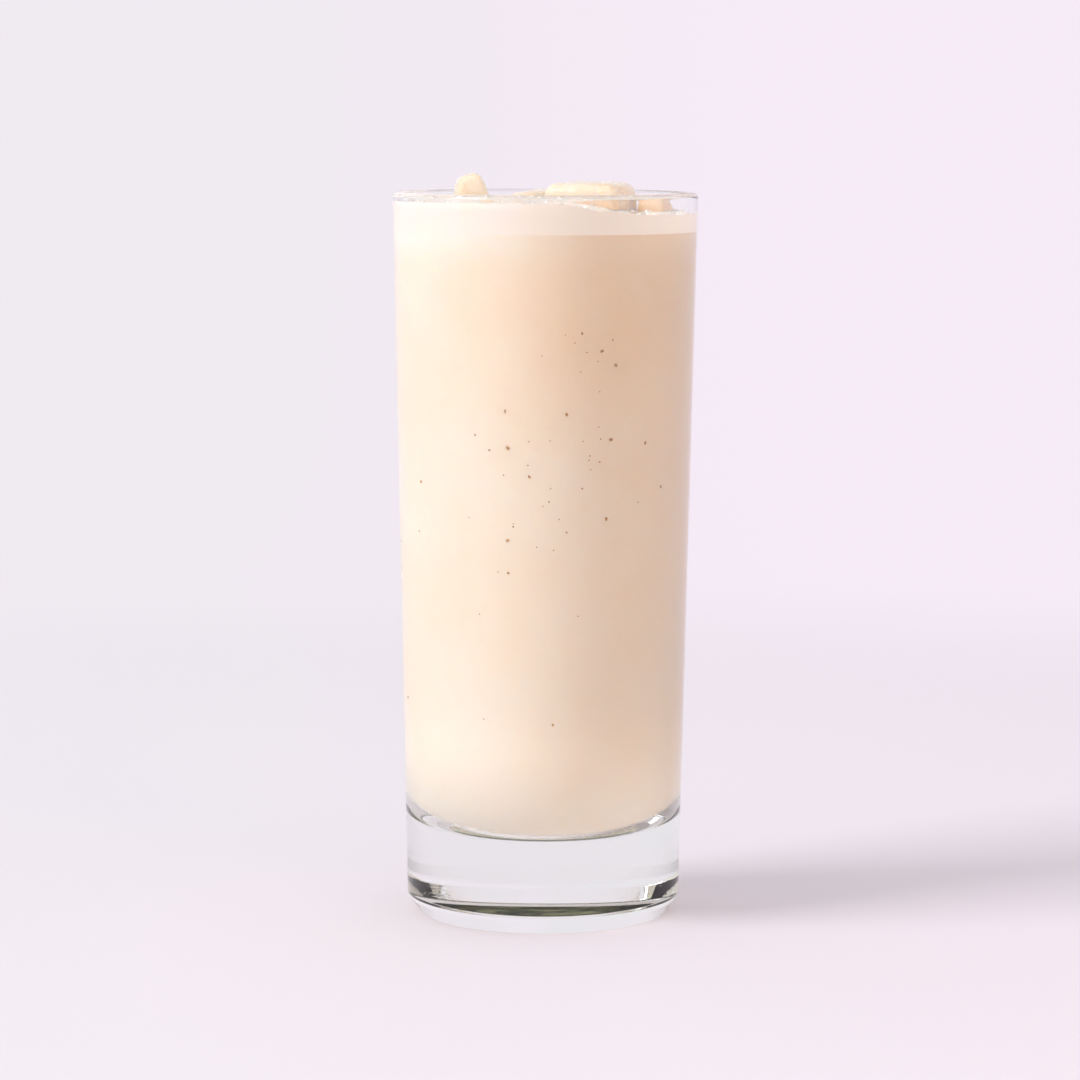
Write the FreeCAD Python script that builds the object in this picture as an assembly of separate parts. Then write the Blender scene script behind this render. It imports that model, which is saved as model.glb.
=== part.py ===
"""A tall glass of coconut lemonade.

A clear highball glass with a thick solid base is filled nearly to its rim
with an opaque drink. A paler froth lies on the drink, and ice lumps coated
with it break the surface.

Frame: millimetres, +Z up, origin at the centre of the foot's resting plane.
Seen from -Y, +X is to the right. Each piece is written to parts/NAME.step.
"""
import FreeCAD
import Part

import math
import os
from collections import namedtuple

Vector = FreeCAD.Vector

# Glass, outside
GLASS_HEIGHT = 155.0
RIM_RADIUS = 32.5
FOOT_RADIUS = 29.3
HEEL_REACH = 3.0
HEEL_RISE = 3.8
HEEL_ROUNDING = 3.0

# Glass, underside
RING_WIDTH = 4.2
RING_ROUNDING = 0.6
PUNT_DEPTH = 1.6

# Glass, inside
WALL = 2.2
BASE_THICKNESS = 18.7
CORNER_REACH = 13.0
CORNER_RISE = 20.0

# Drink and froth, as distances below the rim
FROTH_BELOW_RIM = 2.3
DRINK_BELOW_RIM = 8.2
FROTH_DIP = 2.4
FROTH_DIP_RUN = 22.0
FROTH_RIPPLE = 0.2
FROTH_RIPPLE_LENGTH = 17.0
FROTH_GRID_STEPS = 10

# Ice lumps. Their places and plan sizes are shares of the mouth's radius, so
# that they lie clear of the wall and of each other in a glass of any width.
# rise is how far the top stands above the froth, height is top to bottom.
Lump = namedtuple("Lump", "name bearing reach width depth top height rise yaw lean rounding")
LUMPS = (
    Lump("ice_lump_left", 149.1, 0.645, 0.40, 0.44, 0.38, 15.0, 6.1, 12.0, -8.0, 1.5),
    Lump("ice_lump_centre", 6.0, 0.320, 0.58, 0.62, 0.92, 18.0, 4.6, -18.5, 0.0, 2.4),
    Lump("ice_lump_right", 358.0, 0.750, 0.29, 0.36, 0.62, 9.0, 1.3, -20.0, -10.0, 1.4),
    Lump("ice_lump_front", 233.8, 0.533, 0.48, 0.44, 0.72, 15.0, 1.7, 24.0, 7.0, 2.4),
    Lump("ice_lump_back", 96.0, 0.632, 0.42, 0.38, 0.80, 14.0, 2.5, 38.0, -5.0, 2.2),
    Lump("ice_lump_far", 52.0, 0.755, 0.32, 0.32, 0.75, 12.0, 1.2, 10.0, 6.0, 1.8),
)

# Worked out from the sizes above
CONTACT_RADIUS = FOOT_RADIUS - HEEL_REACH
RING_INNER_RADIUS = CONTACT_RADIUS - RING_WIDTH
TAPER = math.atan2(RIM_RADIUS - FOOT_RADIUS, GLASS_HEIGHT - HEEL_RISE)
RIM_ROUNDING = WALL * math.cos(TAPER) / 2
FROTH_LEVEL = GLASS_HEIGHT - FROTH_BELOW_RIM
DRINK_LEVEL = GLASS_HEIGHT - DRINK_BELOW_RIM


def point(radius, height):
    """Return a point of the half section that is spun about the axis."""
    return Vector(radius, 0, height)


def outer_radius(height):
    """Return the outside radius of the straight tapered wall."""
    return FOOT_RADIUS + (height - HEEL_RISE) * math.tan(TAPER)


def inner_radius(height):
    """Return the inside radius of the wall above its rounded corner."""
    return outer_radius(height) - WALL


def line(start, end):
    """Return a straight edge."""
    return Part.LineSegment(start, end).toShape()


def arc(start, middle, end):
    """Return the edge of the circle through three points."""
    return Part.Arc(start, middle, end).toShape()


def rounded_path(points, radii):
    """Return edges along points, with an arc of each inner point's radius."""
    edges = []
    start = points[0]
    for i, radius in enumerate(radii, 1):
        corner = points[i]
        back = (points[i - 1] - corner).normalize()
        ahead = (points[i + 1] - corner).normalize()
        half = back.getAngle(ahead) / 2
        inset = radius / math.tan(half)
        middle = corner + (back + ahead).normalize() * (radius / math.sin(half) - radius)
        edges.append(line(start, corner + back * inset))
        edges.append(arc(corner + back * inset, middle, corner + ahead * inset))
        start = corner + ahead * inset
    edges.append(line(start, points[-1]))
    return edges


def spin(edges):
    """Return the solid that a closed half section makes about the axis."""
    return Part.Face(Part.Wire(edges)).revolve(Vector(), Vector(0, 0, 1), 360)


def rim_centre():
    """Return the centre of the round that joins the wall's two faces."""
    height = GLASS_HEIGHT - RIM_ROUNDING
    radius = (outer_radius(height) + inner_radius(height)) / 2
    return point(radius, height)


def cavity_edges():
    """Return the inside from the rim's round, down the wall, to the axis."""
    across = point(math.cos(TAPER), -math.sin(TAPER))
    wall_top = rim_centre() - across * RIM_ROUNDING
    corner_top = BASE_THICKNESS + CORNER_RISE
    wall_foot = point(inner_radius(corner_top), corner_top)
    corner = point(inner_radius(BASE_THICKNESS), BASE_THICKNESS)
    floor_edge = point(corner.x - CORNER_REACH, BASE_THICKNESS)
    bend = Part.BezierCurve()
    bend.setPoles([wall_foot, corner, floor_edge])
    bend.setWeight(2, math.sqrt(0.5))
    floor_centre = point(0, BASE_THICKNESS)
    return [line(wall_top, wall_foot), bend.toShape(), line(floor_edge, floor_centre)]


def glass():
    """Return the glass: punt, resting ring, heel, wall, round rim, cavity."""
    punt_radius = (RING_INNER_RADIUS ** 2 + PUNT_DEPTH ** 2) / (2 * PUNT_DEPTH)
    half_way = RING_INNER_RADIUS / 2
    punt_middle = math.sqrt(punt_radius ** 2 - half_way ** 2) - punt_radius + PUNT_DEPTH
    punt_top = point(0, PUNT_DEPTH)
    ring_inner = point(RING_INNER_RADIUS, 0)
    punt = arc(punt_top, point(half_way, punt_middle), ring_inner)

    across = point(math.cos(TAPER), -math.sin(TAPER))
    centre = rim_centre()
    wall_top = centre + across * RIM_ROUNDING
    outside = rounded_path(
        [ring_inner, point(CONTACT_RADIUS, 0), point(FOOT_RADIUS, HEEL_RISE), wall_top],
        [RING_ROUNDING, HEEL_ROUNDING])
    along = point(math.sin(TAPER), math.cos(TAPER))
    rim = arc(wall_top, centre + along * RIM_ROUNDING, centre - across * RIM_ROUNDING)
    axis = line(point(0, BASE_THICKNESS), punt_top)
    return spin([punt, *outside, rim, *cavity_edges(), axis])


def cavity():
    """Return the space inside the glass, up to the foot of the rim's round."""
    edges = cavity_edges()
    top = edges[0].Vertexes[0].Point
    above = point(0, top.z)
    axis = line(point(0, BASE_THICKNESS), above)
    return spin([*edges, axis, line(above, top)])


def froth_height(x, y):
    """Return the height of the froth: level at the left, lower at the right."""
    step = min(max(x / FROTH_DIP_RUN, 0), 1)
    dip = FROTH_DIP * step * step * (3 - 2 * step)
    turn = 2 * math.pi / FROTH_RIPPLE_LENGTH
    ripple = FROTH_RIPPLE * math.sin(turn * (x + y / 2)) * math.cos(turn * (y - x / 3))
    return FROTH_LEVEL - dip + ripple


def below_froth(depth):
    """Return the block under the uneven froth, wider than the cavity."""
    count = FROTH_GRID_STEPS + 1
    places = [RIM_RADIUS * (2 * i / FROTH_GRID_STEPS - 1) for i in range(count)]
    poles = [[Vector(x, y, froth_height(x, y)) for y in places] for x in places]
    degree = 3
    knots = list(range(count - degree + 1))
    repeats = [degree + 1] + [1] * (len(knots) - 2) + [degree + 1]
    surface = Part.BSplineSurface()
    surface.buildFromPolesMultsKnots(
        poles, repeats, repeats, knots, knots, False, False, degree, degree)
    return surface.toShape().extrude(Vector(0, 0, -depth))


def slab(low, high):
    """Return a block wider than the glass between two heights."""
    block = Part.makeBox(2 * RIM_RADIUS, 2 * RIM_RADIUS, high - low)
    block.translate(Vector(-RIM_RADIUS, -RIM_RADIUS, low))
    return block


def ice_lump(lump):
    """Return one lump: a tapered block with rounded edges, turned and tilted."""
    mouth = inner_radius(FROTH_LEVEL)
    half_width, half_depth = lump.width * mouth / 2, lump.depth * mouth / 2
    top_width, top_depth = half_width * lump.top, half_depth * lump.top
    block = Part.makeWedge(
        -half_width, 0, -half_depth, -top_depth, -top_width,
        half_width, lump.height, half_depth, top_depth, top_width)
    block.rotate(Vector(), Vector(1, 0, 0), 90)
    block = block.makeFillet(lump.rounding, block.Edges)
    block.rotate(Vector(0, 0, lump.height), Vector(0, 1, 0), lump.lean)
    block.rotate(Vector(), Vector(0, 0, 1), lump.yaw)
    bearing = math.radians(lump.bearing)
    x = lump.reach * mouth * math.cos(bearing)
    y = lump.reach * mouth * math.sin(bearing)
    top = block.optimalBoundingBox(False, False).ZMax
    block.translate(Vector(x, y, FROTH_LEVEL + lump.rise - top))
    return block


def main():
    """Make every piece and write its STEP file."""
    lumps = {lump.name: ice_lump(lump) for lump in LUMPS}
    inside = cavity()
    froth_block = below_froth(GLASS_HEIGHT).common(slab(DRINK_LEVEL, GLASS_HEIGHT))
    pieces = {
        "glass": glass(),
        "lemonade": inside.common(slab(0, DRINK_LEVEL)).cut(list(lumps.values())),
        "froth": inside.common(froth_block).cut(list(lumps.values())),
        **lumps,
    }
    os.makedirs("parts", exist_ok=True)
    for name, shape in pieces.items():
        solids = shape.Solids
        box = shape.optimalBoundingBox(False, False)
        print(f"{name}: {len(solids)} solid, valid {shape.isValid()}, "
              f"{shape.Volume / 1000:.2f} cm3, "
              f"x {box.XMin:.2f}..{box.XMax:.2f}, y {box.YMin:.2f}..{box.YMax:.2f}, "
              f"z {box.ZMin:.2f}..{box.ZMax:.2f}")
        solids[0].exportStep(f"parts/{name}.step")


main()
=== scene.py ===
"""The finish and the fine shapes of a tall glass of coconut lemonade.

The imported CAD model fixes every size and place. Here its glass is spun again
with smooth curves, the drink and the froth are fitted just into the glass's
wall, the ice lumps get their worn and coated shape, and flecks and bubbles
are added. Units are metres, +Z is up, and the camera looks along +Y.
"""

import logging
import math
import random
from collections.abc import Sequence
from dataclasses import dataclass
from enum import Enum
from itertools import pairwise

import bpy
from mathutils import Matrix, Vector, noise


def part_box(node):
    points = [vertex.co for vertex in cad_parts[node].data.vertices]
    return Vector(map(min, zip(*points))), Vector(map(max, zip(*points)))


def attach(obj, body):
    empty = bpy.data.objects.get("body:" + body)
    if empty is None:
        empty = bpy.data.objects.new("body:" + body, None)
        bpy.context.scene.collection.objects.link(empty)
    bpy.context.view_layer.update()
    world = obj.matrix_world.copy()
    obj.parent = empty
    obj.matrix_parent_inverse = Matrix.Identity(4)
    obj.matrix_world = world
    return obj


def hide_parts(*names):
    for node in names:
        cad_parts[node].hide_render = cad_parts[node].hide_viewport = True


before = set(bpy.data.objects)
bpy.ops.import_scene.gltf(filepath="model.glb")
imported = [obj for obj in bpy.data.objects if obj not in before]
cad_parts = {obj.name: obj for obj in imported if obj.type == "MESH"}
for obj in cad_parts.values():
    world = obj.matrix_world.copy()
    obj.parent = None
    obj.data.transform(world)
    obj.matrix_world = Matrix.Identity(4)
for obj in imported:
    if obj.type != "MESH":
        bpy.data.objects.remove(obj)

log = logging.getLogger("coconut_lemonade")

MM = 0.001
WELD = 0.002 * MM

Colour = tuple[float, float, float]
Point = tuple[float, float]
Place = tuple[float, float, float]

WHITE: Colour = (1.0, 1.0, 1.0)
BLACK: Colour = (0.0, 0.0, 0.0)


def linear(red: int, green: int, blue: int) -> Colour:
    """Turn a colour as it looks on a screen into a shader's linear colour.

    Args:
        red: Red from 0 to 255.
        green: Green from 0 to 255.
        blue: Blue from 0 to 255.

    Returns:
        The three linear values from 0 to 1.
    """
    def channel(value: int) -> float:
        """Undo the screen's gamma on one channel."""
        share = value / 255
        return share / 12.92 if share <= 0.04045 else ((share + 0.055) / 1.055) ** 2.4
    return channel(red), channel(green), channel(blue)


def smoothstep(low: float, high: float, value: float) -> float:
    """Rise smoothly from 0 at low to 1 at high.

    Args:
        low: Where the rise starts.
        high: Where the rise ends.
        value: Where to read it.

    Returns:
        A share from 0 to 1.
    """
    share = min(max((value - low) / (high - low), 0.0), 1.0)
    return share * share * (3 - 2 * share)


# ---------------------------------------------------------------- shaders


@dataclass(frozen=True)
class Patches:
    """Cloudy patches: how fine they are, and the noise they rise between.

    Grain is in cells per metre. Layers is how many finer layers are added, and
    harshness is how strong those are.
    """

    grain: float
    layers: float = 2.0
    harshness: float = 0.5
    low: float = 0.0
    high: float = 1.0


class Signal:
    """A number that varies over a surface: one output of a shader node.

    Python's operators on it add Math nodes to the same material.
    """

    def __init__(self, sheet: "NodeSheet", socket: bpy.types.NodeSocket) -> None:
        """Wrap an output socket of a node on a sheet."""
        self.sheet = sheet
        self.socket = socket

    def maths(self, operation: str, *values: "Signal | float") -> "Signal":
        """Add one Math node.

        Args:
            operation: The Math node's operation.
            values: What its sockets take, in order.

        Returns:
            The node's result.
        """
        return self.sheet.signal("ShaderNodeMath", {"operation": operation},
                                 dict(enumerate(values)))

    def __add__(self, other: "Signal | float") -> "Signal":
        """Add."""
        return self.maths("ADD", self, other)

    def __radd__(self, other: float) -> "Signal":
        """Add to a plain number."""
        return self.maths("ADD", other, self)

    def __sub__(self, other: "Signal | float") -> "Signal":
        """Subtract."""
        return self.maths("SUBTRACT", self, other)

    def __rsub__(self, other: float) -> "Signal":
        """Subtract from a plain number."""
        return self.maths("SUBTRACT", other, self)

    def __mul__(self, other: "Signal | float") -> "Signal":
        """Multiply."""
        return self.maths("MULTIPLY", self, other)

    def __rmul__(self, other: float) -> "Signal":
        """Multiply a plain number."""
        return self.maths("MULTIPLY", other, self)

    def __pow__(self, other: float) -> "Signal":
        """Raise to a power."""
        return self.maths("POWER", self, other)

    def rise(self, low: float, high: float) -> "Signal":
        """Rise smoothly from 0 at low to 1 at high, or fall if low is higher.

        Args:
            low: The value that gives 0.
            high: The value that gives 1.

        Returns:
            The share from 0 to 1.
        """
        sockets = {"Value": self, "From Min": low, "From Max": high}
        return self.sheet.signal("ShaderNodeMapRange",
                                 {"interpolation_type": "SMOOTHSTEP"}, sockets)


class NodeSheet:
    """The node tree of one material or of the world, added to node by node."""

    def __init__(self, owner: bpy.types.Material | bpy.types.World) -> None:
        """Empty the owner's node tree and take it over.

        Args:
            owner: The material or the world.
        """
        owner.use_nodes = True
        self.tree = owner.node_tree
        self.tree.nodes.clear()

    def add(self, kind: str, settings: dict | None = None,
            sockets: dict | None = None) -> bpy.types.Node:
        """Add one node.

        Args:
            kind: The node's Blender type.
            settings: Its own settings, set first.
            sockets: What each socket takes, by name or number: a plain value,
                a signal, an output socket, or a node for its first output.

        Returns:
            The new node.
        """
        node = self.tree.nodes.new(kind)
        for name, value in (settings or {}).items():
            setattr(node, name, value)
        for name, value in (sockets or {}).items():
            socket = node.inputs[name]
            if isinstance(value, Signal):
                value = value.socket
            elif isinstance(value, bpy.types.Node):
                value = value.outputs[0]
            if isinstance(value, bpy.types.NodeSocket):
                self.tree.links.new(value, socket)
            elif isinstance(value, tuple) and socket.type == "RGBA":
                socket.default_value = (*value, 1.0)
            else:
                socket.default_value = value
        return node

    def signal(self, kind: str, settings: dict | None = None, sockets: dict | None = None,
               output: str | int = 0) -> Signal:
        """Add one node and wrap one of its outputs.

        Args:
            kind: The node's Blender type.
            settings: Its own settings.
            sockets: What each socket takes, as in add.
            output: The output's name or number.

        Returns:
            The output as a signal.
        """
        return Signal(self, self.add(kind, settings, sockets).outputs[output])

    def place(self) -> bpy.types.NodeSocket:
        """Return the surface point in the model's own frame, in metres."""
        return self.add("ShaderNodeTexCoord").outputs["Object"]

    def coordinates(self) -> tuple[Signal, Signal, Signal]:
        """Return the surface point's X, Y and Z in the model's own frame."""
        parts = self.add("ShaderNodeSeparateXYZ", None, {0: self.place()}).outputs
        return Signal(self, parts["X"]), Signal(self, parts["Y"]), Signal(self, parts["Z"])

    def ray(self, kind: str) -> Signal:
        """Return 1 on rays of one kind, such as Is Shadow Ray, and 0 on others."""
        return self.signal("ShaderNodeLightPath", output=kind)

    def mix(self, share: Signal | float, first: object, second: object) -> bpy.types.NodeSocket:
        """Mix two colours.

        Args:
            share: How much of the second colour shows.
            first: The first colour or output socket.
            second: The second colour or output socket.

        Returns:
            The mixed colour's socket.
        """
        node = self.add("ShaderNodeMix", {"data_type": "RGBA"}, {0: share, 6: first, 7: second})
        return node.outputs[2]

    def mix_shaders(self, share: Signal, first: bpy.types.Node,
                    second: bpy.types.Node) -> bpy.types.Node:
        """Mix two surface shaders.

        Args:
            share: How much of the second shader shows.
            first: The first shader's node.
            second: The second shader's node.

        Returns:
            The node that mixes them.
        """
        return self.add("ShaderNodeMixShader", None, {0: share, 1: first, 2: second})

    def noise(self, patches: Patches) -> Signal:
        """Return cloudy noise, from 0 to 1 and mostly near a half.

        Args:
            patches: How fine the noise is.

        Returns:
            The noise.
        """
        return self.signal("ShaderNodeTexNoise", None, {
            "Vector": self.place(), "Scale": patches.grain, "Detail": patches.layers,
            "Roughness": patches.harshness})

    def patches(self, patches: Patches) -> Signal:
        """Return patches, as 0 between them and 1 within them."""
        return self.noise(patches).rise(patches.low, patches.high)

    def cells(self, scale: float, feature: str = "F1") -> Signal:
        """Return the distance to scattered points, as round foam cells.

        Args:
            scale: Cells in a metre.
            feature: Which distance the Voronoi node gives.

        Returns:
            The distance, in cells.
        """
        return self.signal("ShaderNodeTexVoronoi", {"feature": feature},
                           {"Vector": self.place(), "Scale": scale}, "Distance")

    def bump(self, height: Signal, distance: float, strength: float = 1.0) -> bpy.types.NodeSocket:
        """Return a normal bent by a height.

        Args:
            height: The height as a share of the distance.
            distance: The relief in metres.
            strength: How much of it shows.

        Returns:
            The bent normal's socket.
        """
        sockets = {"Height": height, "Distance": distance, "Strength": strength}
        return self.add("ShaderNodeBump", None, sockets).outputs["Normal"]

    def finish(self, surface: bpy.types.Node, volume: bpy.types.Node | None = None) -> None:
        """Join the last shader nodes to the material's output.

        Args:
            surface: The node whose first output is the surface.
            volume: The node whose first output is the volume, if any.
        """
        sockets = {"Surface": surface}
        if volume:
            sockets["Volume"] = volume
        self.add("ShaderNodeOutputMaterial", None, sockets)


def new_material(name: str) -> tuple[bpy.types.Material, NodeSheet]:
    """Start a material.

    Args:
        name: The material's name.

    Returns:
        The material and its empty sheet of nodes.
    """
    material = bpy.data.materials.new(name)
    return material, NodeSheet(material)


@dataclass(frozen=True)
class ClearGlass:
    """Soda-lime glass with a slight green cast where it is thick."""

    ior: float = 1.52
    absorbed: Colour = (0.40, 0.75, 0.52)
    absorption_per_metre: float = 2.2
    shadow_tint: Colour = (0.985, 0.98, 0.985)
    waves: Patches = Patches(45.0, layers=1.0)
    wave_height: float = 0.004 * MM
    stipple: Patches = Patches(900.0, layers=3.0, harshness=0.6, low=0.52, high=0.66)
    stipple_height: float = 0.004 * MM
    foot_level: float = 4.0 * MM

    def material(self) -> bpy.types.Material:
        """Make the material, with drawn waves and a stippled foot.

        Returns:
            The material.
        """
        material, sheet = new_material("clear_glass")
        _, _, level = sheet.coordinates()
        stipple = sheet.patches(self.stipple) * level.rise(self.foot_level, self.foot_level / 2)
        waves = sheet.noise(self.waves) * (self.wave_height / self.stipple_height)
        clear = sheet.add("ShaderNodeBsdfPrincipled", None, {
            "Base Color": WHITE, "Roughness": 0.0, "IOR": self.ior,
            "Transmission Weight": 1.0,
            "Normal": sheet.bump(waves + stipple, self.stipple_height)})
        passing = sheet.add("ShaderNodeBsdfTransparent", None, {"Color": self.shadow_tint})
        surface = sheet.mix_shaders(sheet.ray("Is Shadow Ray"), clear, passing)
        volume = sheet.add("ShaderNodeVolumeAbsorption", None, {
            "Color": self.absorbed, "Density": self.absorption_per_metre})
        sheet.finish(surface, volume)
        return material


@dataclass(frozen=True)
class PaintedFootReflection:
    """The glass's underside, with a painted reflection where it is seen from within.

    Its painted reflection is dark olive and mottled, for the dark surroundings that it mirrors, and
    paler over its ring, at its lit left end and in painted glints.
    """

    dark: Colour = (0.045, 0.050, 0.032)
    olive: Colour = (0.24, 0.25, 0.14)
    pale: Colour = (0.70, 0.74, 0.74)
    ior: float = 1.52
    roughness: float = 0.12
    mottle: Patches = Patches(260.0, layers=4.0, harshness=0.65, low=0.40, high=0.66)
    mould_depth: float = 0.02 * MM
    painted_glints: Patches = Patches(1400.0, layers=3.0, harshness=0.7, low=0.60, high=0.70)
    pale_from: float = 0.30
    pale_full: float = 0.62
    pale_ring_from: float = 17.0 * MM
    pale_ring_full: float = 24.0 * MM
    lit_end_from: float = -12.0 * MM
    lit_end_full: float = -27.0 * MM
    pale_ring_share: float = 0.25
    lit_end_share: float = 0.9
    painted_glint_share: float = 0.3
    glancing_from: float = 0.72
    glancing_full: float = 0.85

    def material(self) -> bpy.types.Material:
        """Make the material: a mottled painted reflection over mould relief, clear to shadows.

        Returns:
            The material.
        """
        material, sheet = new_material("foot_painted_reflection")
        across, along, _ = sheet.coordinates()
        # Painted reflection: the ring and the left end, toward the lamp, mirror paler.
        ring = (across * across + along * along).rise(self.pale_ring_from ** 2, self.pale_ring_full ** 2)
        left = across.rise(self.lit_end_from, self.lit_end_full)
        mottle = sheet.noise(self.mottle)
        painted_paleness = ((left * self.lit_end_share + ring * self.pale_ring_share)
                    * mottle.rise(self.pale_from, self.pale_full)
                    + sheet.patches(self.painted_glints) * self.painted_glint_share).rise(0.0, 1.0)
        relief = sheet.bump(mottle, self.mould_depth)
        # Painted reflection: tinted mirrors, dark olive to pale, stand in for the dark surroundings
        # and the unlit drink that the foot mirrors from inside.
        dark, olive, pale = (sheet.add("ShaderNodeBsdfGlossy", None, {
            "Color": colour, "Roughness": self.roughness, "Normal": relief})
            for colour in (self.dark, self.olive, self.pale))
        mirror = sheet.mix_shaders(mottle.rise(self.mottle.low, self.mottle.high), dark, olive)
        mirror = sheet.mix_shaders(painted_paleness, mirror, pale)
        clear = sheet.add("ShaderNodeBsdfPrincipled", None, {
            "Base Color": WHITE, "Roughness": 0.0, "IOR": self.ior,
            "Transmission Weight": 1.0})
        facing = sheet.signal("ShaderNodeLayerWeight", None, {"Blend": 0.5}, "Facing")
        glancing = facing.rise(self.glancing_from, self.glancing_full)
        foot = sheet.mix_shaders(glancing * sheet.ray("Is Transmission Ray"), clear, mirror)
        passing = sheet.add("ShaderNodeBsdfTransparent", None, {"Color": WHITE})
        sheet.finish(sheet.mix_shaders(sheet.ray("Is Shadow Ray"), foot, passing))
        return material


@dataclass(frozen=True)
class OpaqueDrink:
    """Coconut lemonade as it lies against the glass: cloudy and faintly warm.

    Under the froth, painted shade deepens its colour toward the right. Froth is
    mixed into it near its top, more toward the left as painted light. A painted
    glow near the glass's base stands in for light that the base gathers.
    """

    pale: Colour = linear(247, 235, 222)
    cloud_and_shade_tone: Colour = linear(244, 223, 199)
    froth: Colour = linear(250, 243, 236)
    roughness: float = 0.5
    clouds: Patches = Patches(28.0, layers=4.0, harshness=0.55, low=0.30, high=0.70)
    cloudiness: float = 0.5
    pulp: Patches = Patches(1500.0, low=0.58, high=0.72)
    pulp_share: float = 0.12
    froth_level: float = 146.8 * MM
    mixing_depth: float = 8.0 * MM
    waver: Patches = Patches(160.0, layers=3.0)
    waver_height: float = 3.0 * MM
    lit_mix_from: float = 14.0 * MM
    lit_mix_full: float = -22.0 * MM
    mixed_least: float = 0.10
    lit_mix_more: float = 0.62
    painted_shade_low: float = 90.0 * MM
    painted_shade_high: float = 138.0 * MM
    painted_shade_from: float = -14.0 * MM
    painted_shade_full: float = 8.0 * MM
    painted_shade_least: float = 0.25
    painted_shade_more: float = 0.85
    painted_shade_strength: float = 0.50
    scatter: Colour = (1.0, 0.85, 0.70)
    scatter_depth: float = 2.5 * MM
    index_over_glass: float = 1.34 / 1.52
    painted_glow_from: float = 52.0 * MM
    painted_glow_full: float = 22.0 * MM
    glow: float = 0.14

    def material(self) -> bpy.types.Material:
        """Make the material, with slow clouds, paler froth near its top, painted shade and a
        painted glow.

        Returns:
            The material.
        """
        material, sheet = new_material("coconut_lemonade")
        across, _, level = sheet.coordinates()
        clouds = sheet.patches(self.clouds) * self.cloudiness
        pulp = sheet.patches(self.pulp) * self.pulp_share
        # Painted shade: the colour deepens high up under the froth and toward the right, away from
        # the lamp.
        painted_shade = level.rise(self.painted_shade_low, self.painted_shade_high) * self.painted_shade_strength
        painted_shade = painted_shade * (across.rise(self.painted_shade_from, self.painted_shade_full) * self.painted_shade_more
                       + self.painted_shade_least)
        cream = sheet.mix(clouds + painted_shade, self.pale, self.cloud_and_shade_tone)
        mixing_top = self.froth_level + self.waver_height / 2
        wavering = level + sheet.noise(self.waver) * self.waver_height
        mixed = wavering.rise(mixing_top - self.mixing_depth, mixing_top)
        # Froth colour is mixed in near the top, and more toward the left as painted light on the
        # lit side.
        mixed = mixed * (across.rise(self.lit_mix_from, self.lit_mix_full) * self.lit_mix_more
                         + self.mixed_least)
        # Painted light: the emission glows near the base, for light that the thick base gathers.
        body = sheet.add("ShaderNodeBsdfPrincipled", None, {
            "Base Color": sheet.mix(mixed + pulp, cream, self.froth),
            "Roughness": self.roughness, "Specular IOR Level": 0.0, "Subsurface Weight": 1.0,
            "Subsurface Radius": self.scatter, "Subsurface Scale": self.scatter_depth,
            "Emission Strength": self.glow,
            "Emission Color": sheet.mix(level.rise(self.painted_glow_from, self.painted_glow_full),
                                        BLACK, self.pale)})
        mirror = sheet.add("ShaderNodeBsdfGlossy", None, {"Color": WHITE, "Roughness": 0.0})
        glancing = sheet.signal("ShaderNodeFresnel", None, {"IOR": self.index_over_glass})
        sheet.finish(sheet.mix_shaders(glancing, body, mirror))
        return material


class FrothSide(Enum):
    """Which side of the froth a face shows."""

    OPEN = "froth_open"
    AT_WALL = "froth_at_wall_painted_glow"


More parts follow.
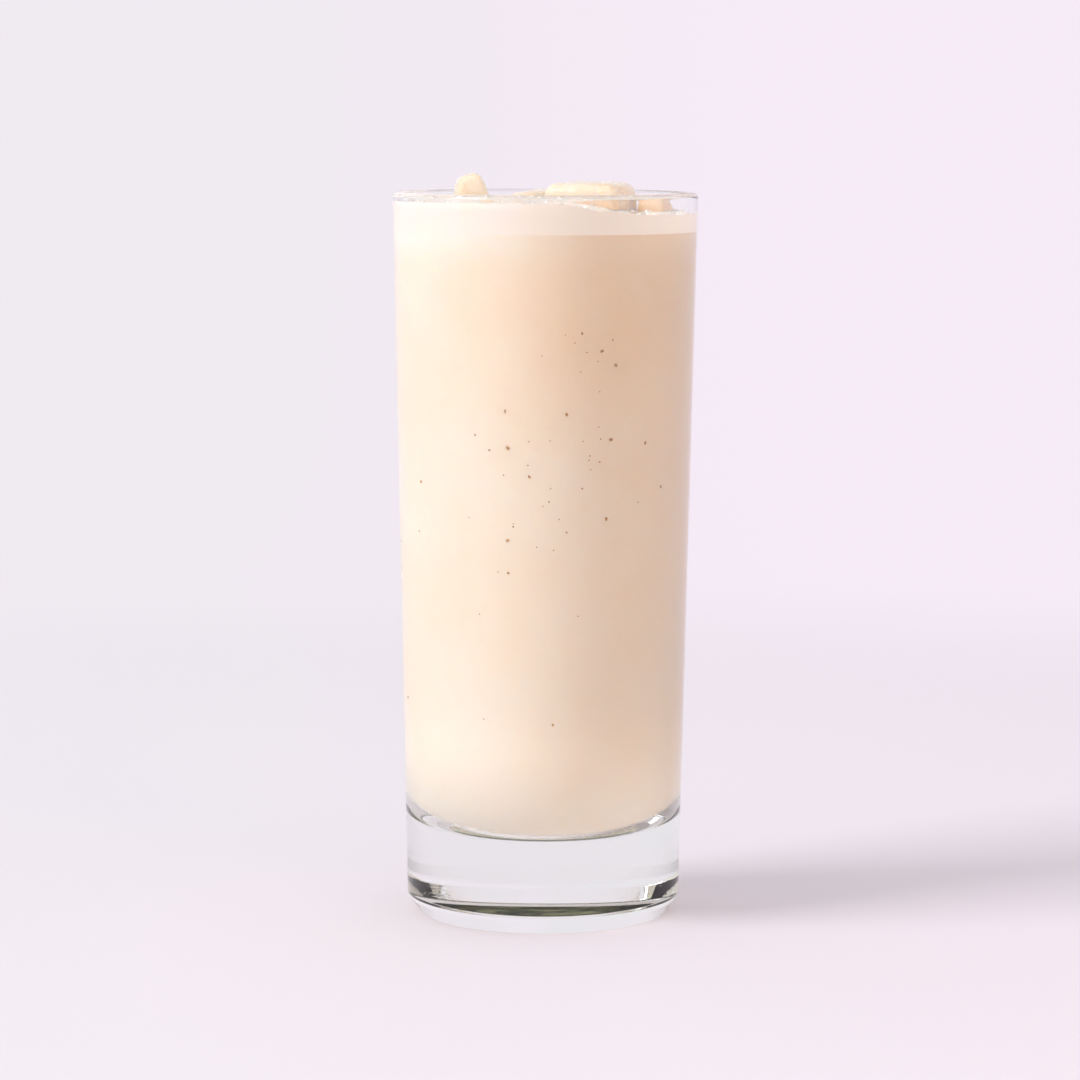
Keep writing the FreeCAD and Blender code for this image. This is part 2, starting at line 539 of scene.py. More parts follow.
@dataclass(frozen=True)
class FineFroth:
    """Fine coconut froth, wet at its open top and smooth against the glass.

    At the glass it has a painted glow, for light passed through the froth, stronger toward the
    right.
    """

    white: Colour = linear(244, 235, 229)
    warm: Colour = linear(246, 235, 221)
    open_white: Colour = linear(240, 231, 223)
    open_warm: Colour = linear(236, 220, 202)
    patches: Patches = Patches(120.0, layers=4.0, harshness=0.6, low=0.42, high=0.62)
    patch_share: float = 0.55
    pit_from: float = 0.15
    pit_full: float = 0.6
    pit_share: float = 0.21
    wet_roughness: float = 0.32
    patch_roughness: float = 0.2
    wall_roughness: float = 0.5
    scatter: Colour = (1.0, 0.92, 0.85)
    scatter_depth: float = 1.6 * MM
    ior: float = 1.34
    bubbles_per_metre: float = 1400.0
    coarser: float = 2.6
    bubble_height: float = 0.16 * MM
    fine_dome: float = 0.6
    coarse_dome: float = 0.8
    painted_wall_glow: float = 0.15
    painted_glow_from: float = -4.0 * MM
    painted_glow_full: float = 22.0 * MM
    painted_glow_least: float = 0.25

    def material(self, side: FrothSide) -> bpy.types.Material:
        """Make the froth's material.

        Args:
            side: Whether the face is open to the air or lies at the wall.

        Returns:
            The material.
        """
        material, sheet = new_material(side.value)
        fine = sheet.cells(self.bubbles_per_metre)
        coarse = sheet.cells(self.bubbles_per_metre / self.coarser)
        patches = sheet.patches(self.patches)
        pits = fine.rise(self.pit_from, self.pit_full)
        warmth = patches * self.patch_share + pits * self.pit_share
        if side is FrothSide.OPEN:
            tones = self.open_white, self.open_warm
            domes = ((1.0 - fine ** 2.0) * self.fine_dome
                     + (1.0 - coarse ** 2.0) * self.coarse_dome * patches)
            wetness = {
                "Roughness": self.wet_roughness + patches * self.patch_roughness,
                "IOR": self.ior,
                "Subsurface Weight": 1.0, "Subsurface Radius": self.scatter,
                "Subsurface Scale": self.scatter_depth,
                "Normal": sheet.bump(domes, self.bubble_height)}
        else:
            tones = self.white, self.warm
            across, _, _ = sheet.coordinates()
            # Painted light: the wall faces glow, more toward the right, for light passed through
            # the froth.
            painted_side_light = (across.rise(self.painted_glow_from, self.painted_glow_full) * (1.0 - self.painted_glow_least)
                       + self.painted_glow_least)
            wetness = {
                "Roughness": self.wall_roughness, "Specular IOR Level": 0.0,
                "Emission Color": sheet.mix(painted_side_light, BLACK, self.white),
                "Emission Strength": self.painted_wall_glow}
        sheet.finish(sheet.add("ShaderNodeBsdfPrincipled", None, {
            "Base Color": sheet.mix(warmth, *tones), **wetness}))
        return material


@dataclass(frozen=True)
class CoatedIce:
    """Ice under a film of drink: cream on its flats, amber where it is thin and, as painted shade,
    low down.
    """

    cream: Colour = linear(240, 227, 210)
    amber: Colour = linear(226, 184, 134)
    low_shade_from: float = 155.5 * MM
    low_shade_full: float = 151.5 * MM
    film: Patches = Patches(150.0, layers=4.0, harshness=0.55, low=0.50, high=0.68)
    film_depth: float = 0.25 * MM
    film_relief: float = 0.8
    drops_per_metre: float = 650.0
    drop_edge: float = 0.55
    drop_top: float = 0.1
    drop_relief: float = 0.3
    wet_roughness: float = 0.22
    thin_roughness: float = 0.2
    thin_share: float = 0.4
    low_shade_share: float = 0.5
    ior: float = 1.33
    scatter: Colour = (1.0, 0.75, 0.5)
    scatter_depth: float = 1.5 * MM

    def material(self) -> bpy.types.Material:
        """Make the material, with an uneven film, its wet gloss and painted shade low down.

        Returns:
            The material.
        """
        material, sheet = new_material("coated_ice")
        film = sheet.noise(self.film)
        thin = film.rise(self.film.low, self.film.high)
        _, _, level = sheet.coordinates()
        # Painted shade: amber toward the froth line, on the low sides turned from the lamp.
        low = level.rise(self.low_shade_from, self.low_shade_full)
        colour = sheet.mix(thin * self.thin_share + low * self.low_shade_share,
                           self.cream, self.amber)
        drops = sheet.cells(self.drops_per_metre, "SMOOTH_F1")
        drops = drops.rise(self.drop_edge, self.drop_top) * thin
        relief = film * self.film_relief + drops * self.drop_relief
        sheet.finish(sheet.add("ShaderNodeBsdfPrincipled", None, {
            "Base Color": colour, "IOR": self.ior,
            "Roughness": self.wet_roughness + thin * self.thin_roughness,
            "Subsurface Weight": 1.0, "Subsurface Radius": self.scatter,
            "Subsurface Scale": self.scatter_depth,
            "Normal": sheet.bump(relief, self.film_depth)}))
        return material


@dataclass(frozen=True)
class CoconutFleck:
    """Toasted coconut husk in small brown flecks."""

    brown: Colour = linear(172, 128, 88)
    tan: Colour = linear(206, 166, 124)
    roughness: float = 0.6
    mottle: Patches = Patches(260.0, layers=3.0, low=0.35, high=0.65)
    fibres: Patches = Patches(4000.0, layers=1.0)
    fibre_depth: float = 0.03 * MM

    def material(self) -> bpy.types.Material:
        """Make the material, mottled between brown and tan.

        Returns:
            The material.
        """
        material, sheet = new_material("coconut_flecks")
        fibres = sheet.noise(self.fibres)
        sheet.finish(sheet.add("ShaderNodeBsdfPrincipled", None, {
            "Base Color": sheet.mix(sheet.patches(self.mottle), self.brown, self.tan),
            "Roughness": self.roughness, "Specular IOR Level": 0.1,
            "Normal": sheet.bump(fibres, self.fibre_depth)}))
        return material


@dataclass(frozen=True)
class BubbleSkin:
    """The wet skin of a froth bubble."""

    skin: Colour = linear(252, 243, 234)
    milk: Patches = Patches(700.0)
    wet_roughness: float = 0.06
    milk_roughness: float = 0.1
    ior: float = 1.34
    scatter: Colour = (1.0, 0.8, 0.6)
    scatter_depth: float = 1.0 * MM

    def material(self) -> bpy.types.Material:
        """Make the material, milky and glossy.

        Returns:
            The material.
        """
        material, sheet = new_material("froth_bubbles")
        roughness = self.wet_roughness + sheet.noise(self.milk) * self.milk_roughness
        sheet.finish(sheet.add("ShaderNodeBsdfPrincipled", None, {
            "Base Color": self.skin, "Roughness": roughness, "IOR": self.ior,
            "Subsurface Weight": 1.0, "Subsurface Radius": self.scatter,
            "Subsurface Scale": self.scatter_depth}))
        return material


# ---------------------------------------------------------------- modelling


def clear_selection() -> None:
    """Leave edit mode and select nothing."""
    if bpy.context.mode != "OBJECT":
        bpy.ops.object.mode_set(mode="OBJECT")
    bpy.ops.object.select_all(action="DESELECT")


def take_up(piece: bpy.types.Object) -> None:
    """Select one object alone and make it active.

    Args:
        piece: The object.
    """
    clear_selection()
    piece.select_set(True)
    bpy.context.view_layer.objects.active = piece


def name_new(name: str) -> bpy.types.Object:
    """Name the object that an operator has just added, and its mesh.

    Args:
        name: The name for both.

    Returns:
        The object.
    """
    piece = bpy.context.active_object
    piece.name = name
    piece.data.name = name
    return piece


def apply_modifier(piece: bpy.types.Object, kind: str, **settings: object) -> None:
    """Put one modifier on a piece and apply it.

    Args:
        piece: The object.
        kind: The modifier's Blender type.
        settings: What is set on it.
    """
    take_up(piece)
    modifier = piece.modifiers.new(kind.lower(), kind)
    for name, value in settings.items():
        setattr(modifier, name, value)
    bpy.ops.object.modifier_apply(modifier=modifier.name)


def spun_piece(name: str, section: Sequence[Point], segments: int) -> bpy.types.Object:
    """Trace a half section from one vertex and spin it about the axis.

    Args:
        name: The piece's name.
        section: Radius and height of each point, from axis to axis.
        segments: How many steps the turn has.

    Returns:
        The closed, smooth piece.
    """
    clear_selection()
    bpy.ops.mesh.primitive_plane_add(size=MM)
    piece = name_new(name)
    bpy.ops.object.mode_set(mode="EDIT")
    bpy.ops.mesh.select_mode(type="VERT")
    bpy.ops.mesh.merge(type="CENTER")
    radius, height = section[0]
    bpy.ops.transform.translate(value=(radius, 0, height))
    for (radius, height), (next_radius, next_height) in pairwise(section):
        step = (next_radius - radius, 0, next_height - height)
        bpy.ops.mesh.extrude_region_move(TRANSFORM_OT_translate={"value": step})
    bpy.ops.mesh.select_all(action="SELECT")
    bpy.ops.mesh.spin(steps=segments, angle=math.tau, center=(0, 0, 0), axis=(0, 0, 1))
    bpy.ops.mesh.select_all(action="SELECT")
    bpy.ops.mesh.remove_doubles(threshold=WELD)
    bpy.ops.mesh.normals_make_consistent(inside=False)
    bpy.ops.object.mode_set(mode="OBJECT")
    bpy.ops.object.shade_smooth()
    return piece


def joined(name: str, copies: Sequence[bpy.types.Object]) -> bpy.types.Object:
    """Join copies into one piece whose object is at the origin.

    Args:
        name: The piece's name.
        copies: The objects to join.

    Returns:
        The piece.
    """
    clear_selection()
    for copy in copies:
        copy.select_set(True)
    bpy.context.view_layer.objects.active = copies[0]
    bpy.ops.object.join()
    bpy.ops.object.transform_apply(location=True, rotation=True, scale=True)
    return name_new(name)


def placed_copy(master: bpy.types.Object, place: Matrix) -> bpy.types.Object:
    """Copy a modelled shape, mesh and all, to a place.

    Args:
        master: The shape to copy.
        place: The copy's matrix.

    Returns:
        The copy.
    """
    copy = master.copy()
    copy.data = master.data.copy()
    bpy.context.scene.collection.objects.link(copy)
    copy.matrix_world = place
    return copy


def dress(piece: bpy.types.Object, *materials: bpy.types.Material) -> None:
    """Put materials in a piece's slots, in order.

    Args:
        piece: The object.
        materials: One material for each slot.
    """
    piece.data.materials.clear()
    for material in materials:
        piece.data.materials.append(material)


def mesh_box(piece: bpy.types.Object) -> tuple[Vector, Vector]:
    """Find the box of a piece's mesh.

    Args:
        piece: The object.

    Returns:
        The box's lowest and highest corners.
    """
    axes = list(zip(*(vertex.co for vertex in piece.data.vertices)))
    return Vector(map(min, axes)), Vector(map(max, axes))


def settle(piece: bpy.types.Object, slot: str | None, *nodes: str) -> None:
    """Fix a finished piece to the frame and report it.

    Args:
        piece: The finished object.
        slot: The record's material slot, or None; not used.
        nodes: The CAD nodes that it stands for.
    """
    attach(piece, "root")
    if nodes:
        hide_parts(*nodes)
    low, high = (corner / MM for corner in mesh_box(piece))
    triangles = sum(len(p.vertices) - 2 for p in piece.data.polygons)
    log.info("%s: %d triangles, %.1f..%.1f, %.1f..%.1f, %.1f..%.1f mm", piece.name,
             triangles, low.x, high.x, low.y, high.y, low.z, high.z)


# ---------------------------------------------------------------- sections


def straight(start: Point, end: Point, parts: int = 1, hold: float = 0.3 * MM) -> list[Point]:
    """Divide a straight run, with points held near its ends.

    Args:
        start: The run's first point.
        end: The run's last point.
        parts: How many equal parts the middle has.
        hold: How far the held points are from the ends.

    Returns:
        The points after start, up to and with end.
    """
    first, last = Vector(start), Vector(end)
    inset = (last - first).normalized() * hold
    inner, outer = first + inset, last - inset
    points = [inner.lerp(outer, i / parts) for i in range(parts + 1)]
    return [tuple(p) for p in (*points, last)]


def arc(centre: Point, radius: float, start: float, end: float, steps: int) -> list[Point]:
    """Divide an arc.

    Args:
        centre: The arc's centre.
        radius: Its radius.
        start: The angle that it starts at, in radians.
        end: The angle that it ends at.
        steps: How many steps it has.

    Returns:
        The points after the first one.
    """
    angles = (start + (end - start) * i / steps for i in range(1, steps + 1))
    return [(centre[0] + radius * math.cos(a), centre[1] + radius * math.sin(a)) for a in angles]


def rounded(before: Point, corner: Point, after: Point, radius: float,
            steps: int) -> list[Point]:
    """Round a corner between two straight runs.

    Args:
        before: A point on the run that comes in.
        corner: The sharp corner.
        after: A point on the run that goes out.
        radius: The rounding's radius.
        steps: How many steps it has.

    Returns:
        The points from the rounding's start to its end.
    """
    point = Vector(corner)
    back = (Vector(before) - point).normalized()
    ahead = (Vector(after) - point).normalized()
    half = back.angle(ahead) / 2
    centre = point + (back + ahead).normalized() * (radius / math.sin(half))
    first = point + back * (radius / math.tan(half)) - centre
    last = point + ahead * (radius / math.tan(half)) - centre
    start = math.atan2(first.y, first.x)
    turn = math.remainder(math.atan2(last.y, last.x) - start, math.tau)
    return [tuple(centre + first), *arc(tuple(centre), radius, start, start + turn, steps)]


def bend(start: Point, corner: Point, end: Point, steps: int) -> list[Point]:
    """Divide the elliptic bend that leaves and meets two straight runs.

    Args:
        start: Where the bend starts.
        corner: Where the two runs would meet.
        end: Where the bend ends.
        steps: How many steps it has.

    Returns:
        The points after start.
    """
    weight = math.sqrt(0.5)
    points = []
    for i in range(1, steps + 1):
        t = i / steps
        shares = ((1 - t) ** 2, 2 * t * (1 - t) * weight, t ** 2)
        total = sum(shares)
        points.append(tuple(sum(s * p[axis] for s, p in zip(shares, (start, corner, end))) / total
                            for axis in (0, 1)))
    return points


# ---------------------------------------------------------------- the glass


@dataclass
class Tumbler:
    """The clear glass: thick base, hollow foot, tapered wall and round rim.

    Edges sharper than the crease, in degrees, stay sharp.
    """

    height: float
    rim_radius: float = 32.5 * MM
    foot_radius: float = 29.3 * MM
    heel_reach: float = 3.0 * MM
    heel_rise: float = 3.8 * MM
    heel_rounding: float = 3.0 * MM
    ring_width: float = 4.2 * MM
    ring_rounding: float = 0.6 * MM
    punt_depth: float = 1.6 * MM
    wall: float = 2.2 * MM
    base_thickness: float = 18.7 * MM
    corner_reach: float = 13.0 * MM
    corner_rise: float = 20.0 * MM
    segments: int = 256
    floor_parts: int = 4
    wall_parts: int = 6
    bend_steps: int = 40
    rounding_steps: int = 20
    ring_steps: int = 8
    punt_steps: int = 16
    crease: float = 35.0
    underside_normal: float = -0.9
    underside_margin: float = 0.1 * MM
    glass: ClearGlass = ClearGlass()
    foot: PaintedFootReflection = PaintedFootReflection()

    @property
    def slope(self) -> float:
        """Return how far the wall moves out for each metre that it rises."""
        return (self.rim_radius - self.foot_radius) / (self.height - self.heel_rise)

    def outer_radius(self, level: float) -> float:
        """Return the outside radius of the straight wall at a level."""
        return self.foot_radius + (level - self.heel_rise) * self.slope

    def inner_radius(self, level: float) -> float:
        """Return the inside radius of the straight wall at a level."""
        return self.outer_radius(level) - self.wall

    def cavity(self, overlap: float = 0.0) -> list[Point]:
        """Trace the inside from the axis up to where its wall is straight.

        Args:
            overlap: How far the line lies outside the cavity, in the glass.

        Returns:
            The half section's points.
        """
        floor = self.base_thickness - overlap
        top = floor + self.corner_rise
        corner = (self.inner_radius(floor) + overlap, floor)
        floor_edge = (corner[0] - self.corner_reach, floor)
        wall_foot = (self.inner_radius(top) + overlap, top)
        return [(0.0, floor), *straight((0.0, floor), floor_edge, self.floor_parts),
                *bend(floor_edge, corner, wall_foot, self.bend_steps)]

    def section(self) -> list[Point]:
        """Trace the whole half section, from the cavity's floor to the punt.

        Returns:
            The section's points.
        """
        tilt = math.atan(self.slope)
        rim_rounding = self.wall * math.cos(tilt) / 2
        rim_level = self.height - rim_rounding
        rim_centre = ((self.outer_radius(rim_level) + self.inner_radius(rim_level)) / 2, rim_level)
        inside = self.cavity()
        rim = arc(rim_centre, rim_rounding, math.pi - tilt, -tilt, self.rounding_steps)
        rim_start = (rim_centre[0] - rim_rounding * math.cos(tilt),
                     rim_centre[1] + rim_rounding * math.sin(tilt))
        contact = (self.foot_radius - self.heel_reach, 0.0)
        ring_inner = (contact[0] - self.ring_width, 0.0)
        heel_top = (self.foot_radius, self.heel_rise)
        heel = rounded(rim[-1], heel_top, contact, self.heel_rounding, self.rounding_steps)
        ring = rounded(heel_top, contact, ring_inner, self.ring_rounding, self.ring_steps)
        punt_radius = (ring_inner[0] ** 2 + self.punt_depth ** 2) / (2 * self.punt_depth)
        punt_centre = (0.0, self.punt_depth - punt_radius)
        edge = math.asin(ring_inner[0] / punt_radius)
        punt = arc(punt_centre, punt_radius, math.pi / 2 - edge, math.pi / 2,
                   self.punt_steps)
        punt[-1] = (0.0, self.punt_depth)
        return [*inside, *straight(inside[-1], rim_start, self.wall_parts), *rim,
                *straight(rim[-1], heel[0], self.wall_parts), *heel[1:],
                *straight(heel[-1], ring[0], 1), *ring[1:],
                *straight(ring[-1], ring_inner, 2, 0.1 * MM), *punt]

    def build(self) -> bpy.types.Object:
        """Spin the glass and dress it.

        Returns:
            The finished glass.
        """
        piece = spun_piece("tumbler", self.section(), self.segments)
        bpy.ops.object.shade_smooth_by_angle(angle=math.radians(self.crease))
        dress(piece, self.glass.material(), self.foot.material())
        # Downward faces of the underside take the foot's painted reflection.
        low = self.punt_depth + self.underside_margin
        for face in piece.data.polygons:
            is_under = face.normal.z < self.underside_normal and face.center.z < low
            face.material_index = int(is_under)
        settle(piece, "glass", "glass")
        return piece


# ---------------------------------------------------------------- the ice


@dataclass(frozen=True)
class LumpShape:
    """How one ice lump's block is cut and turned, and how soft its edges are.

    Width and depth are shares of the mouth's radius and top is a share of
    both. Height and rounding are in millimetres, yaw and lean in degrees.
    """

    node: str
    width: float
    depth: float
    height: float
    top: float
    yaw: float
    lean: float
    rounding: float
    seed: int


@dataclass
class IceLumps:
    """The ice lumps that break the froth, worn and coated with drink."""

    mouth: float = 30.25 * MM
    mesh_step: float = 0.32 * MM
    rounding_segments: int = 5
    smoothing_rounds: int = 6
    melt_depth: float = 0.55
    melt_length: float = 7.5
    pit_depth: float = 0.14
    pit_length: float = 2.4
    noise_steps: Place = (1.7, 0.9, 2.3)
    shapes: tuple[LumpShape, ...] = (
        LumpShape("ice_lump_left", 0.40, 0.44, 15.0, 0.38, 12.0, -8.0, 1.5, 3),
        LumpShape("ice_lump_centre", 0.58, 0.62, 18.0, 0.92, -18.5, 0.0, 2.4, 5),
        LumpShape("ice_lump_right", 0.29, 0.36, 9.0, 0.62, -20.0, -10.0, 1.4, 8),
        LumpShape("ice_lump_front", 0.48, 0.44, 15.0, 0.72, 24.0, 7.0, 2.4, 13),
        LumpShape("ice_lump_back", 0.42, 0.38, 14.0, 0.80, 38.0, -5.0, 2.2, 21),
        LumpShape("ice_lump_far", 0.32, 0.32, 12.0, 0.75, 10.0, 6.0, 1.8, 34),
    )
    ice: CoatedIce = CoatedIce()

    def shape_block(self, shape: LumpShape) -> bpy.types.Object:
        """Cut one block: a tapered box with soft edges, turned as it floats.

        Args:
            shape: The lump's measures.

        Returns:
            The block, with its top at height 0 before its turn.
        """
        clear_selection()
        height = shape.height * MM
        bpy.ops.mesh.primitive_cube_add(size=1.0, location=(0, 0, 0))
        piece = name_new(shape.node.replace("ice_lump", "coated_ice"))
        bpy.ops.object.mode_set(mode="EDIT")
        bpy.ops.transform.resize(value=(shape.width * self.mouth, shape.depth * self.mouth, height))
        bpy.ops.transform.translate(value=(0, 0, -height / 2))
        bpy.ops.mesh.select_all(action="DESELECT")
        bpy.ops.object.mode_set(mode="OBJECT")
        for face in piece.data.polygons:
            face.select = face.normal.z > 0.9
        bpy.ops.object.mode_set(mode="EDIT")
        bpy.ops.transform.resize(value=(shape.top, shape.top, 1.0),
                                 center_override=(0, 0, 0))
        bpy.ops.mesh.select_all(action="SELECT")
        bpy.ops.mesh.bevel(offset=shape.rounding * MM, segments=self.rounding_segments,
                           affect="EDGES")
        bpy.ops.object.mode_set(mode="OBJECT")
        piece.rotation_euler = (0.0, math.radians(shape.lean), math.radians(shape.yaw))
        bpy.ops.object.transform_apply(location=True, rotation=True, scale=True)
        return piece

    def wear(self, piece: bpy.types.Object, shape: LumpShape) -> None:
        """Melt and coat one block with even, rounded unevenness.

        The depths and lengths of the wear are in millimetres.

        Args:
            piece: The cut block.
            shape: The lump's measures.
        """
        apply_modifier(piece, "REMESH", mode="VOXEL", voxel_size=self.mesh_step)
        apply_modifier(piece, "SMOOTH", factor=0.5, iterations=self.smoothing_rounds)
        offset = Vector(tuple(shape.seed * step for step in self.noise_steps))
        worn = []
        for vertex in piece.data.vertices:
            spot = vertex.co / MM
            depth = (self.melt_depth * noise.noise(spot / self.melt_length + offset)
                     + self.pit_depth * noise.noise(spot / self.pit_length + offset))
            worn.append(vertex.co + vertex.normal * depth * MM)
        for vertex, place in zip(piece.data.vertices, worn):
            vertex.co = place
        piece.data.update()
        take_up(piece)
        bpy.ops.object.shade_smooth()

    def bring_home(self, piece: bpy.types.Object, shape: LumpShape) -> None:
        """Move a worn block so that its box's middle and top match its node's.

        Args:
            piece: The worn block.
            shape: The lump's measures.
        """
        low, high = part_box(shape.node)
        mesh_low, mesh_high = mesh_box(piece)
        target, now = (low + high) / 2, (mesh_low + mesh_high) / 2
        take_up(piece)
        bpy.ops.object.mode_set(mode="EDIT")
        bpy.ops.mesh.select_all(action="SELECT")
        bpy.ops.transform.translate(value=(target.x - now.x, target.y - now.y,
                                           high.z - mesh_high.z))
        bpy.ops.object.mode_set(mode="OBJECT")

    def build(self) -> list[bpy.types.Object]:
        """Make, wear, place and dress every lump.

        Returns:
            The finished lumps.
        """
        ice = self.ice.material()
        pieces = []
        for shape in self.shapes:
            piece = self.shape_block(shape)
            self.wear(piece, shape)
            self.bring_home(piece, shape)
            dress(piece, ice)
            settle(piece, "ice", shape.node)
            pieces.append(piece)
        return pieces


# ---------------------------------------------------------------- the drink


@dataclass
class Drink:
    """The lemonade, from the glass's floor up to the froth, just in the wall."""

    tumbler: Tumbler
    top: float
    neck: float = 2.4 * MM
    overlap: float = 0.10 * MM
    segments: int = 192
    side_parts: int = 10
    top_parts: int = 4
    crease: float = 40.0
    liquid: OpaqueDrink = OpaqueDrink()

    def build(self) -> bpy.types.Object:
        """Spin the drink and dress it.

        Returns:
            The finished drink.
        """
        side = self.tumbler.cavity(self.overlap)
        top = self.top + self.neck
        brim = (self.tumbler.inner_radius(top) + self.overlap, top)
        section = [*side, *straight(side[-1], brim, self.side_parts),
                   *straight(brim, (0.0, top), self.top_parts)]
        piece = spun_piece("lemonade_body", section, self.segments)
        bpy.ops.object.shade_smooth_by_angle(angle=math.radians(self.crease))
        dress(piece, self.liquid.material())
        settle(piece, "lemonade", "lemonade")
        return piece


@dataclass
class Froth:
    """The froth: level at the left, lower at the right, and drawn up by ice."""

    tumbler: Tumbler
    bottom: float
    ice_boxes: Sequence[tuple[Vector, Vector]]
    below_rim: float = 2.3 * MM
    dip: float = 2.4 * MM
    dip_run: float = 22.0 * MM
    ripple: float = 0.2 * MM
    ripple_length: float = 17.0 * MM
    climb: float = 0.45 * MM
    climb_run: float = 0.7 * MM
    clot: float = 0.22 * MM
    clot_length: float = 4.0 * MM
    fine_clot_share: float = 0.5
    fine_clot_length: float = 1.5 * MM
    collar: float = 0.7 * MM
    collar_run: float = 1.1 * MM
    overlap: float = 0.15 * MM
    rings: int = 84
    segments: int = 288
    side_parts: int = 5
    crease: float = 50.0
    side_band: float = 0.3 * MM
    side_normal: float = 0.6
    foam: FineFroth = FineFroth()

    def collar_height(self, x: float, y: float) -> float:
        """Return how far foam is drawn up by the nearest ice lumps.

        Args:
            x: Place to the right.
            y: Place to the back.

        Returns:
            The extra height.
        """
        height = 0.0
        for low, high in self.ice_boxes:
            centre, half = (low + high) / 2, (high - low) / 2
            across = math.hypot((x - centre.x) / half.x, (y - centre.y) / half.y)
            gap = (across - 1.0) * min(half.x, half.y)
            height = max(height, self.collar * math.exp(-(max(gap, 0.0) / self.collar_run) ** 2))
        return height

    def level(self, x: float, y: float) -> float:
        """Return the froth's height at a place.

        Args:
            x: Place to the right.
            y: Place to the back.

        Returns:
            The height above the foot.
        """
        base = self.tumbler.height - self.below_rim
        dip = self.dip * smoothstep(0.0, self.dip_run, x)
        turn = math.tau / self.ripple_length
        wave = self.ripple * math.sin(turn * (x + y / 2)) * math.cos(turn * (y - x / 3))
        spot = Vector((x, y, 0.0))
        clots = self.clot * (noise.noise(spot / self.clot_length) + self.fine_clot_share
                             * noise.noise(spot / self.fine_clot_length))
        wall = self.tumbler.inner_radius(base) - math.hypot(x, y)
        climb = self.climb * math.exp(-max(wall, 0.0) / self.climb_run)
        return base - dip + wave + clots + climb + self.collar_height(x, y)

    def build(self) -> bpy.types.Object:
        """Spin a disc, raise its top to the froth's levels and dress it.

        Returns:
            The finished froth.
        """
        top = self.tumbler.height - self.below_rim
        foot = (self.tumbler.inner_radius(self.bottom) + self.overlap, self.bottom)
        brim = (self.tumbler.inner_radius(top) + self.overlap, top)
        inward = [(brim[0] * (1 - i / self.rings), top) for i in range(1, self.rings + 1)]
        section = [(0.0, self.bottom), foot, *straight(foot, brim, self.side_parts), *inward]
        piece = spun_piece("froth_layer", section, self.segments)
        for vertex in piece.data.vertices:
            share = (vertex.co.z - self.bottom) / (top - self.bottom)
            if share > 0.0:
                rise = self.level(vertex.co.x, vertex.co.y) - self.bottom
                vertex.co.z = self.bottom + share * rise
        piece.data.update()
        bpy.ops.object.shade_smooth_by_angle(angle=math.radians(self.crease))
        dress(piece, *(self.foam.material(side) for side in FrothSide))
        for face in piece.data.polygons:
            x, y, _ = face.center
            is_outer = math.hypot(x, y) > foot[0] - self.side_band
            face.material_index = int(is_outer and abs(face.normal.z) < self.side_normal)
        piece.visible_shadow = False
        settle(piece, "froth", "froth")
        return piece


@dataclass
class Bubbles:
    """Single bubbles that stand on the froth, thickest along the wall."""

    froth: Froth
    count: int = 420
    smallest: float = 0.22 * MM
    largest: float = 0.75 * MM
    cut_level: float = -0.45
    squash: float = 0.8
    inward: float = 0.9
    crowding: float = 2.2
    rarity: int = 3
    wall_gap: float = 1.1
    seed: int = 17
    skin: BubbleSkin = BubbleSkin()

    def model_bubble(self) -> bpy.types.Object:
        """Model one bubble: a squat ball with its underside cut away.

        Returns:
            The bubble, of radius 1.
        """
        clear_selection()
        bpy.ops.mesh.primitive_uv_sphere_add(segments=8, ring_count=6, radius=1.0)
        bubble = name_new("bubble")
        bpy.ops.object.mode_set(mode="EDIT")
        bpy.ops.mesh.select_all(action="SELECT")
        bpy.ops.mesh.bisect(plane_co=(0, 0, self.cut_level), plane_no=(0, 0, 1),
                            use_fill=True, clear_inner=True)
        bpy.ops.mesh.select_all(action="SELECT")
        bpy.ops.transform.resize(value=(1.0, 1.0, self.squash))
        bpy.ops.object.mode_set(mode="OBJECT")
        bpy.ops.object.shade_smooth()
        return bubble

    def build(self) -> bpy.types.Object:
        """Scatter the bubbles and dress them.

        Returns:
            All the bubbles as one piece.
        """
        chance = random.Random(self.seed)
        master = self.model_bubble()
        edge = self.froth.tumbler.inner_radius(self.froth.tumbler.height)
        copies = []
        while len(copies) < self.count:
            reach = edge * (1 - self.inward * chance.random() ** self.crowding)
            bearing = chance.uniform(0, math.tau)
            size = self.smallest + (self.largest - self.smallest) * chance.random() ** self.rarity
            reach = min(reach, edge - self.wall_gap * size)
            x, y = reach * math.cos(bearing), reach * math.sin(bearing)
            place = Matrix.Translation((x, y, self.froth.level(x, y)))
            turn = Matrix.Rotation(bearing, 4, "Z")
            copies.append(placed_copy(master, place @ turn @ Matrix.Scale(size, 4)))
        bpy.data.objects.remove(master)
        piece = joined("froth_bubbles", copies)
        dress(piece, self.skin.material())
        settle(piece, "froth")
        return piece


@dataclass(frozen=True)
class FleckCloud:
    """Where a cloud of flecks lies on the drink's side, and how many it has.

    Bearing and spread are in degrees, level and rise in metres.
    """

    bearing: float
    spread: float
    level: float
    rise: float
    count: int


